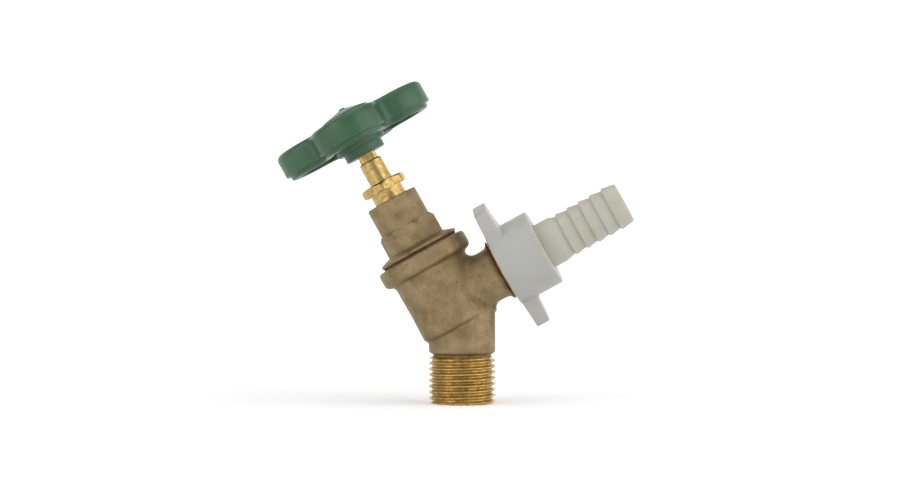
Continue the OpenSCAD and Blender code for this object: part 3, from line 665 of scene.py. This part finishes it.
# Small parts that stay as the frame has them: the fibre washer under the bonnet, the packing
# and its washer, the valve, the wheel's screw and washer, and the union's rubber washer.
def plain_finish(name, dark, light, roughness, metallic=0.0, grain=0.0006):
    """A finish that wanders between two tones, with a fine grain."""
    f = Finish(name, light, roughness, metallic)
    cloud = f.noise(0.002, 4, 0.6)
    f.plug(f.ramp(cloud, (0.3, dark), (0.7, light)), f.shader, "Base Color")
    f.bump(f.noise(grain, 3, 0.6), 0.00003)
    return f.material


small = {
    "bonnet_washer": plain_finish("red_fibre", (0.10, 0.035, 0.02), (0.17, 0.06, 0.035), 0.8),
    "gland_packing": plain_finish("white_packing", (0.70, 0.70, 0.66), (0.80, 0.80, 0.77), 0.7),
    "union_washer": plain_finish("black_rubber", (0.012, 0.012, 0.012), (0.03, 0.03, 0.03), 0.7),
    "wheel_screw": plain_finish("zinc_plate", (0.38, 0.39, 0.40), (0.5, 0.51, 0.53), 0.35, 1.0),
}
small["valve_washer"] = small["union_washer"]
small["wheel_washer"] = small["wheel_screw"]
for name in ("packing_washer", "jumper", "washer_nut"):
    small[name] = bar_brass
for name, material in small.items():
    node = frame["nodes"][name]
    node.data.materials.clear()
    node.data.materials.append(material)

# Studio: a pale floor and backdrop, a soft light box on each side of the camera and one above.
def pale_stage(name, near, far):
    """A white surface that takes shadows. Where it is seen directly or mirrored it also glows a
    little, from near the object's foot to far away, so that it shows as plain white there."""
    material = bpy.data.materials.new(name)
    material.use_nodes = True
    tree = material.node_tree
    tree.nodes.clear()
    out, both, diffuse, glow, path, place, length, spread, seen, level = (
        tree.nodes.new("ShaderNode" + kind) for kind in (
            "OutputMaterial", "AddShader", "BsdfDiffuse", "Emission", "LightPath", "TexCoord",
            "VectorMath", "MapRange", "Math", "Math"))
    diffuse.inputs["Color"].default_value = (0.86, 0.86, 0.86, 1)
    length.operation = "LENGTH"
    for key, value in zip(("From Min", "From Max", "To Min", "To Max"), (0.1, 0.8, near, far)):
        spread.inputs[key].default_value = value
    also = tree.nodes.new("ShaderNodeMath")
    for node, operation in ((seen, "MAXIMUM"), (also, "MAXIMUM"), (level, "MULTIPLY")):
        node.operation = operation
    for source, target in (
            (place.outputs["Object"], length.inputs[0]), (length.outputs["Value"], spread.inputs[0]),
            (path.outputs["Is Camera Ray"], seen.inputs[0]),
            (path.outputs["Is Glossy Ray"], seen.inputs[1]), (seen.outputs[0], also.inputs[0]),
            (path.outputs["Is Transmission Ray"], also.inputs[1]),
            (also.outputs[0], level.inputs[0]), (spread.outputs[0], level.inputs[1]),
            (level.outputs[0], glow.inputs["Strength"]), (diffuse.outputs[0], both.inputs[0]),
            (glow.outputs[0], both.inputs[1]), (both.outputs[0], out.inputs[0])):
        tree.links.new(source, target)
    return material


def stage_grid(name, points, material):
    """A sheet of the studio from a grid of points."""
    rows, columns = points.shape[:2]
    index = np.arange(rows * columns).reshape(rows, columns)
    faces = np.stack([index[:-1, :-1], index[:-1, 1:], index[1:, 1:], index[1:, :-1]], axis=-1)
    mesh = bpy.data.meshes.new(name)
    mesh.from_pydata(points.reshape(-1, 3).tolist(), [], faces.reshape(-1, 4).tolist())
    mesh.materials.append(material)
    sheet = bpy.data.objects.new(name, mesh)
    bpy.context.scene.collection.objects.link(sheet)


side = np.linspace(-2.2, 2.2, 3)
stage_grid("floor", np.stack([*np.meshgrid(side, side), np.zeros((3, 3))], axis=-1),
           pale_stage("pale_floor", 0.3, 0.75))
swing = np.radians(np.linspace(-65, 65, 27))[None, :]
rise = np.linspace(0, 1.1, 3)[:, None]
stage_grid("backdrop", np.stack(np.broadcast_arrays(
    1.7 * np.sin(swing), 1.7 * np.cos(swing), rise), axis=-1), pale_stage("pale_backdrop", 0.8, 0.8))

LOOK_AT = np.array([-3.8, 0.0, 48.1]) * MM
DISTANCE = 0.94


def around(azimuth, elevation, distance):
    """A place seen from the object's middle: azimuth 0 is in front, positive to the right."""
    a, e = math.radians(azimuth), math.radians(elevation)
    away = np.array([math.sin(a) * math.cos(e), -math.cos(a) * math.cos(e), math.sin(e)])
    return LOOK_AT + distance * away


def aimed(thing, place):
    """Puts a lamp or the camera at a place, looking at the object's middle."""
    from mathutils import Vector
    thing.location = place.tolist()
    thing.rotation_euler = Vector((LOOK_AT - place).tolist()).to_track_quat("-Z", "Y").to_euler()
    bpy.context.scene.collection.objects.link(thing)


def light_box(name, azimuth, elevation, distance, width, height, power):
    """A soft light box that faces the object."""
    lamp = bpy.data.lights.new(name, "AREA")
    lamp.shape = "RECTANGLE"
    lamp.size, lamp.size_y = width, height
    lamp.energy = power
    aimed(bpy.data.objects.new(name, lamp), around(azimuth, elevation, distance))


light_box("left_box", -45, 12, 0.9, 0.65, 1.0, 3.2)
light_box("right_box", 70, 12, 0.9, 1.2, 1.0, 5.8)
light_box("top_box", 0, 80, 1.0, 1.0, 1.0, 2.5)

world = bpy.data.worlds.new("studio")
bpy.context.scene.world = world
world.use_nodes = True
nodes = world.node_tree.nodes
nodes.clear()
room = nodes.new("ShaderNodeBackground")
room.inputs["Color"].default_value = (0.5, 0.5, 0.5, 1)
out = nodes.new("ShaderNodeOutputWorld")
world.node_tree.links.new(room.outputs[0], out.inputs[0])

camera = bpy.data.cameras.new("camera")
camera.lens = 120
camera.sensor_width = 36
camera.clip_start = 0.01
view = bpy.data.objects.new("camera", camera)
aimed(view, around(4.5, 1.5, DISTANCE))
bpy.context.scene.camera = view
bpy.context.scene.view_settings.view_transform = "Standard"
